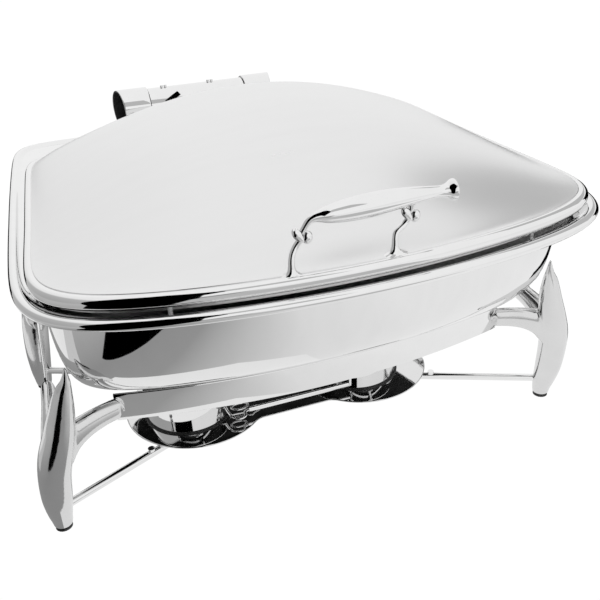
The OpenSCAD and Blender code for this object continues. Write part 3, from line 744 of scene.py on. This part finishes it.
for side in ("left", "right"):
    at = (HOLDER_X[side], HOLDER_Y, HOLDER_Z)
    cup = lathe(
        f"holder_{side}",
        [
            (0, 1), (HOLDER_R - 1, 1), (HOLDER_R, 2.4), (HOLDER_R, HOLDER_H - 1),
            (HOLDER_R - 0.2, HOLDER_H), (HOLDER_R - 1.5, HOLDER_H), (HOLDER_R - 1.5, 1.6), (0, 1.6),
        ],
        at, polished, f"burner_{side}", round_by=0.8,
    )
    # The black foot ring under each cup is painted contact shade where the cup stands on the tray.
    foot = lathe(
        f"holder_foot_{side}",
        [(0, 0), (HOLDER_BASE_R, 0), (HOLDER_BASE_R, 2), (0, 2)], at,
        black_plastic, f"burner_{side}", round_by=0.8,
    )
    lug = tongue(
        f"holder_lug_{side}", at, ((4.4, 18), (5, 18.6), (5, 25.4), (4.4, 26)), f"burner_{side}"
    )
    for piece in (cup, foot, lug):
        fitted(piece, f"fuel_holder_{side}")
    cover_at = (at[0], at[1], COVER_Z)
    lid_disc = lathe(
        f"cover_{side}",
        [
            (0, 0), (HOLDER_R, 0), (HOLDER_R, 2), (HOLDER_R - 6, 2.2), (HOLDER_R - 14, 5), (0, 5),
        ],
        cover_at, polished, f"cover_{side}", round_by=1.2,
    )
    ear = tongue(
        f"cover_ear_{side}", cover_at, ((6.5, 0), (7, 0.5), (7, 1.5), (6.5, 2)), f"cover_{side}"
    )
    for piece in (lid_disc, ear):
        fitted(piece, f"snuffer_{side}")

# The right cover's long handle: a strap beside the holder, ending in two loops of wire.
bar_lo, _ = cad_box_mm("snuffer_handle_right")
BAR_Y = HOLDER_Y - 51
BAR_Z = bar_lo[2] + 3.5
BAR_END = HOLDER_X["right"] - 160
BAR_DROP = HOLDER_X["right"] - 34


def wire(name, points, r, body, node, closed=False):
    """A round wire along smoothed points."""
    points = [(*p, r, r) for p in points]
    if closed:
        points = points + points[:1]
    path = smooth_path(points, 8)
    return fitted(sweep(name, path, (0.2, 0.1, 1), polished, body, 16), node)


def strap(name, points, half_w, half_t, body, node):
    """A flat strap with rounded edges; its width is upright where it runs level."""
    path = [(*p, half_t, half_w) for p in points]
    return fitted(sweep(name, path, (0, 0, 1), polished, body, 24), node)


strap(
    "snuffer_bar",
    [(BAR_END + (BAR_DROP + 4 - BAR_END) * k / 8, BAR_Y, BAR_Z) for k in range(9)],
    3.5, 2, "cover_right", "snuffer_handle_right",
)
strap(
    "snuffer_drop",
    [(BAR_DROP + 4 + 0.01 * k, BAR_Y, BAR_Z + (COVER_Z + 1 - BAR_Z) * k / 6) for k in range(7)],
    2, 3.6, "cover_right", "snuffer_handle_right",
)
strap(
    "snuffer_step",
    [(BAR_DROP + 4, BAR_Y + 24 * k / 6, COVER_Z + 1) for k in range(7)],
    1, 4, "cover_right", "snuffer_handle_right",
)
wire(
    "snuffer_loop",
    [(BAR_END + 10 * math.cos(a) - 9, BAR_Y + 8 + 6 * math.sin(a), BAR_Z + 2)
     for a in (math.pi * k / 6 for k in range(-1, 12))],
    1.3, "cover_right", "snuffer_handle_right",
)
wire(
    "snuffer_hook",
    [
        (BAR_END - 25, BAR_Y + 15, BAR_Z + 1), (BAR_END - 24, BAR_Y + 4, BAR_Z),
        (BAR_END - 21, BAR_Y - 6, BAR_Z - 1), (BAR_END - 14, BAR_Y - 10, BAR_Z - 2),
        (BAR_END - 7, BAR_Y - 9, BAR_Z - 1), (BAR_END - 5, BAR_Y - 3, BAR_Z),
        (BAR_END, BAR_Y, BAR_Z),
    ],
    1.4, "cover_right", "snuffer_handle_right",
)
finger_x = HOLDER_X["left"] + HOLDER_R
strap(
    "snuffer_tab",
    [(finger_x - 3 + 4.6 * k, HOLDER_Y, COVER_Z + 1 + 0.01 * k) for k in range(7)],
    1, 4, "cover_left", "snuffer_handle_left",
)
fitted(
    wire_ring(
        "snuffer_finger", (finger_x + 33, HOLDER_Y, COVER_Z + 1), 8.5, 1.4, (0, 0, 1),
        polished, "cover_left",
    ),
    "snuffer_handle_left",
)

# Low studs that keep the lid off the rim.
for k, x in enumerate((-STUD_X, STUD_X)):
    stud = lathe(
        f"stud_{k}", [(0, 0), (2, 0), (2, 3.6), (1.2, 4.6), (0, 4.7)], (x, STUD_Y, DECK_Z),
        white_plastic, "pan", round_by=0.5, count=32,
    )
    fitted(stud, "lid_bumpers")

# ---------- CAD nodes that show as they are ----------

FINISH = {
    "polished_steel": polished,
    "satin_steel": satin,
    "dark_steel": dark_steel,
    "tin": tin,
    "black_rubber": rubber,
    "black_plastic": black_plastic,
    "white_plastic": white_plastic,
}
for part in frame["record"]["subparts"]:
    node = frame["nodes"][part["node"]]
    node.data.materials.clear()
    node.data.materials.append(FINISH[part["material_slot"]])
    node.data.polygons.foreach_set("use_smooth", [True] * len(node.data.polygons))
    node.data.set_sharp_from_angle(angle=math.radians(30))

# ---------- Floor, lights and camera ----------


def glow(name, strength):
    """A plain emitter."""
    mat = bpy.data.materials.new(name)
    mat.use_nodes = True
    nodes, links = mat.node_tree.nodes, mat.node_tree.links
    nodes.clear()
    out = nodes.new("ShaderNodeOutputMaterial")
    emit = nodes.new("ShaderNodeEmission")
    emit.inputs["Strength"].default_value = strength
    links.new(emit.outputs[0], out.inputs[0])
    return mat


def greys_along_x(tree, coordinate, lo, hi, stops):
    """Greys that change along X of a texture coordinate, as (x, grey) stops."""
    nodes, links = tree.nodes, tree.links
    where = nodes.new("ShaderNodeTexCoord")
    split = nodes.new("ShaderNodeSeparateXYZ")
    span = nodes.new("ShaderNodeMapRange")
    span.inputs["From Min"].default_value = lo
    span.inputs["From Max"].default_value = hi
    ramp = nodes.new("ShaderNodeValToRGB")
    points = ramp.color_ramp.elements
    while len(points) < len(stops):
        points.new(0.5)
    for point, (x, grey) in zip(points, stops):
        point.position = (x - lo) / (hi - lo)
        point.color = (grey, grey, grey, 1)
    links.new(where.outputs[coordinate], split.inputs[0])
    links.new(split.outputs["X"], span.inputs["Value"])
    links.new(span.outputs["Result"], ramp.inputs["Fac"])
    return ramp.outputs["Color"]


def table_top(name, stops, seen):
    """A floor that is white to the eye, and darker towards the left in reflections."""
    mat = glow(name, 1)
    nodes, links = mat.node_tree.nodes, mat.node_tree.links
    emit = next(n for n in nodes if n.type == "EMISSION")
    out = next(n for n in nodes if n.type == "OUTPUT_MATERIAL")
    links.new(greys_along_x(mat.node_tree, "Object", -1, 1, stops), emit.inputs["Color"])
    bright = nodes.new("ShaderNodeEmission")
    bright.inputs["Strength"].default_value = seen
    path = nodes.new("ShaderNodeLightPath")
    mix = nodes.new("ShaderNodeMixShader")
    links.new(path.outputs["Is Camera Ray"], mix.inputs[0])
    links.new(emit.outputs[0], mix.inputs[1])
    links.new(bright.outputs[0], mix.inputs[2])
    links.new(mix.outputs[0], out.inputs[0])
    return mat


def card(name, corners, material):
    """A flat stage card through corners in metres; only reflections and light show it."""
    mesh = bpy.data.meshes.new(name)
    mesh.from_pydata(corners, [], [tuple(range(len(corners)))])
    mesh.materials.append(material)
    obj = bpy.data.objects.new(name, mesh)
    bpy.context.scene.collection.objects.link(obj)
    obj.visible_camera = False
    return obj


world = bpy.data.worlds.new("studio")
bpy.context.scene.world = world
world.use_nodes = True
sky = world.node_tree.nodes["Background"]
world.node_tree.links.new(
    greys_along_x(
        world.node_tree, "Generated", -1, 1,
        [(-1, 0.42), (-0.55, 0.5), (-0.4, 0.88), (0, 0.97), (1, 0.93)],
    ),
    sky.inputs["Color"],
)

floor_mesh = bpy.data.meshes.new("floor")
floor_mesh.from_pydata([(-9, -9, 0), (9, -9, 0), (9, 9, 0), (-9, 9, 0)], [], [(0, 1, 2, 3)])
floor_mesh.materials.append(
    table_top(
        "floor_white",
        [(-1, 0.5), (-0.6, 0.42), (-0.48, 0.36), (-0.38, 0.3), (-0.22, 0.33), (-0.16, 0.46),
         (0, 0.8), (0.2, 0.9), (0.5, 0.93), (1, 0.88)],
        1.02,
    )
)
floor = bpy.data.objects.new("floor", floor_mesh)
bpy.context.scene.collection.objects.link(floor)
floor.location.z = -0.0005

black = glow("black_cloth", 0)
grey = glow("grey_card", 0.52)
dim = glow("dim_card", 0.62)
pale = glow("pale_card", 0.88)
# The cards stand where their reflections shade the dish as seen from the photo's angle.
# A black cloth in front on the left: on the table, up its back and side, and overhead.
CLOTH_EDGE_X, CLOTH_TURN_X, CLOTH_TURN_Y, CLOTH_TURN_LENGTH = -0.333, -0.41, -0.43, 0.2
cloth_turn = [
    (CLOTH_TURN_X + (CLOTH_EDGE_X - CLOTH_TURN_X) * math.cos(a),
     CLOTH_TURN_Y + CLOTH_TURN_LENGTH * math.sin(a), 0)
    for a in (math.pi / 2 * (1 - k / 12) for k in range(13))
]
card(
    "cloth_table",
    cloth_turn
    + [(CLOTH_EDGE_X, -0.49, 0), (-0.3, -0.56, 0), (-0.32, -1.2, 0), (-1.3, -1.2, 0),
       (-0.9, -0.75, 0)],
    black,
)
card(
    "cloth_back",
    [(-1.3, -1.2, 0), (-0.32, -1.2, 0), (-0.3, -1.2, 0.75), (-0.18, -1.2, 1.15),
     (-0.18, -1.2, 1.6), (-1.3, -1.2, 1.6)],
    black,
)
card(
    "cloth_side",
    [(-0.9, -0.75, 0), (-1.3, -1.2, 0), (-1.3, -1.2, 1.6), (-1.05, -0.62, 1.6)], black,
)
card(
    "cloth_top",
    [(-1.05, -0.62, 1.6), (-0.5, -0.22, 1.6), (-0.3, -0.3, 1.6), (-0.18, -1.2, 1.6),
     (-1.3, -1.2, 1.6)],
    black,
)
# Black flags low behind the dish draw its dark outline on both sides.
card("flag_right", [(1.7, 0.1, 0), (1.4, 0.9, 0), (1.4, 0.9, 0.5), (1.7, 0.1, 0.75)], black)
card(
    "flag_right_low",
    [(0.44, -0.1, 0), (0.5, -0.1, 0), (0.64, 0.02, 0), (3.2, 0.9, 0), (2.2, 3.0, 0),
     (0.62, 0.6, 0)],
    black,
)
card("flag_left", [(-0.48, 1.2, 0), (-1.0, 1.0, 0), (-1.0, 1.0, 0.3), (-0.48, 1.2, 0.3)], black)
card("flag_left_low", [(-0.38, 0.42, 0), (-0.48, 1.2, 0), (-1.0, 1.0, 0), (-0.6, 0.42, 0)], black)
# Grey screens overhead and a grey table in front shade the lid's edge, the rim and the pan.
card("screen_right", [(1.6, -0.1, 0.8), (1.3, 0.9, 0.7), (1.3, 0.9, 2), (1.6, -0.1, 2)], grey)
card(
    "screen_front",
    [(-0.18, -1.25, 1.15), (0.42, -1.25, 1.15), (0.42, -1.25, 2.4), (-0.18, -1.25, 2.4)], grey,
)
card(
    "table_front",
    [(-0.3, -1.2, 0), (0.4, -1.2, 0), (0.4, -0.55, 0), (0.1, -0.55, 0), (-0.3, -0.64, 0)], grey,
)
# Pale cards on the table brighten the low walls and the legs.
card(
    "bounce_front",
    [(-0.3, -0.17, 0), (-0.1, -0.235, 0), (0, -0.21, 0), (0.05, -0.05, 0), (-0.3, -0.05, 0)], pale,
)
card("bounce_left", [(-0.75, 0.02, 0), (-0.44, 0.02, 0), (-0.42, 0.38, 0), (-0.75, 0.38, 0)], pale)
card(
    "bounce_left_edge",
    [(-0.8, -0.1, 0), (-0.44, -0.1, 0), (-0.44, 0.02, 0), (-0.8, 0.02, 0)], dim,
)

scene = bpy.context.scene
scene.view_settings.view_transform = "Standard"

YAW, PITCH, ROLL = 0.334, 0.503, -0.046
camera = bpy.data.cameras.new("camera")
camera.sensor_width = 36
camera.lens = 45.88
camera.clip_end = 100
eye = bpy.data.objects.new("camera", camera)
scene.collection.objects.link(eye)
eye.matrix_world = (
    Matrix.Translation((-0.2497, -0.7969, 0.5927))
    @ Matrix.Rotation(-YAW, 4, "Z")
    @ Matrix.Rotation(math.pi / 2 - PITCH, 4, "X")
    @ Matrix.Rotation(ROLL, 4, "Z")
)
scene.camera = eye
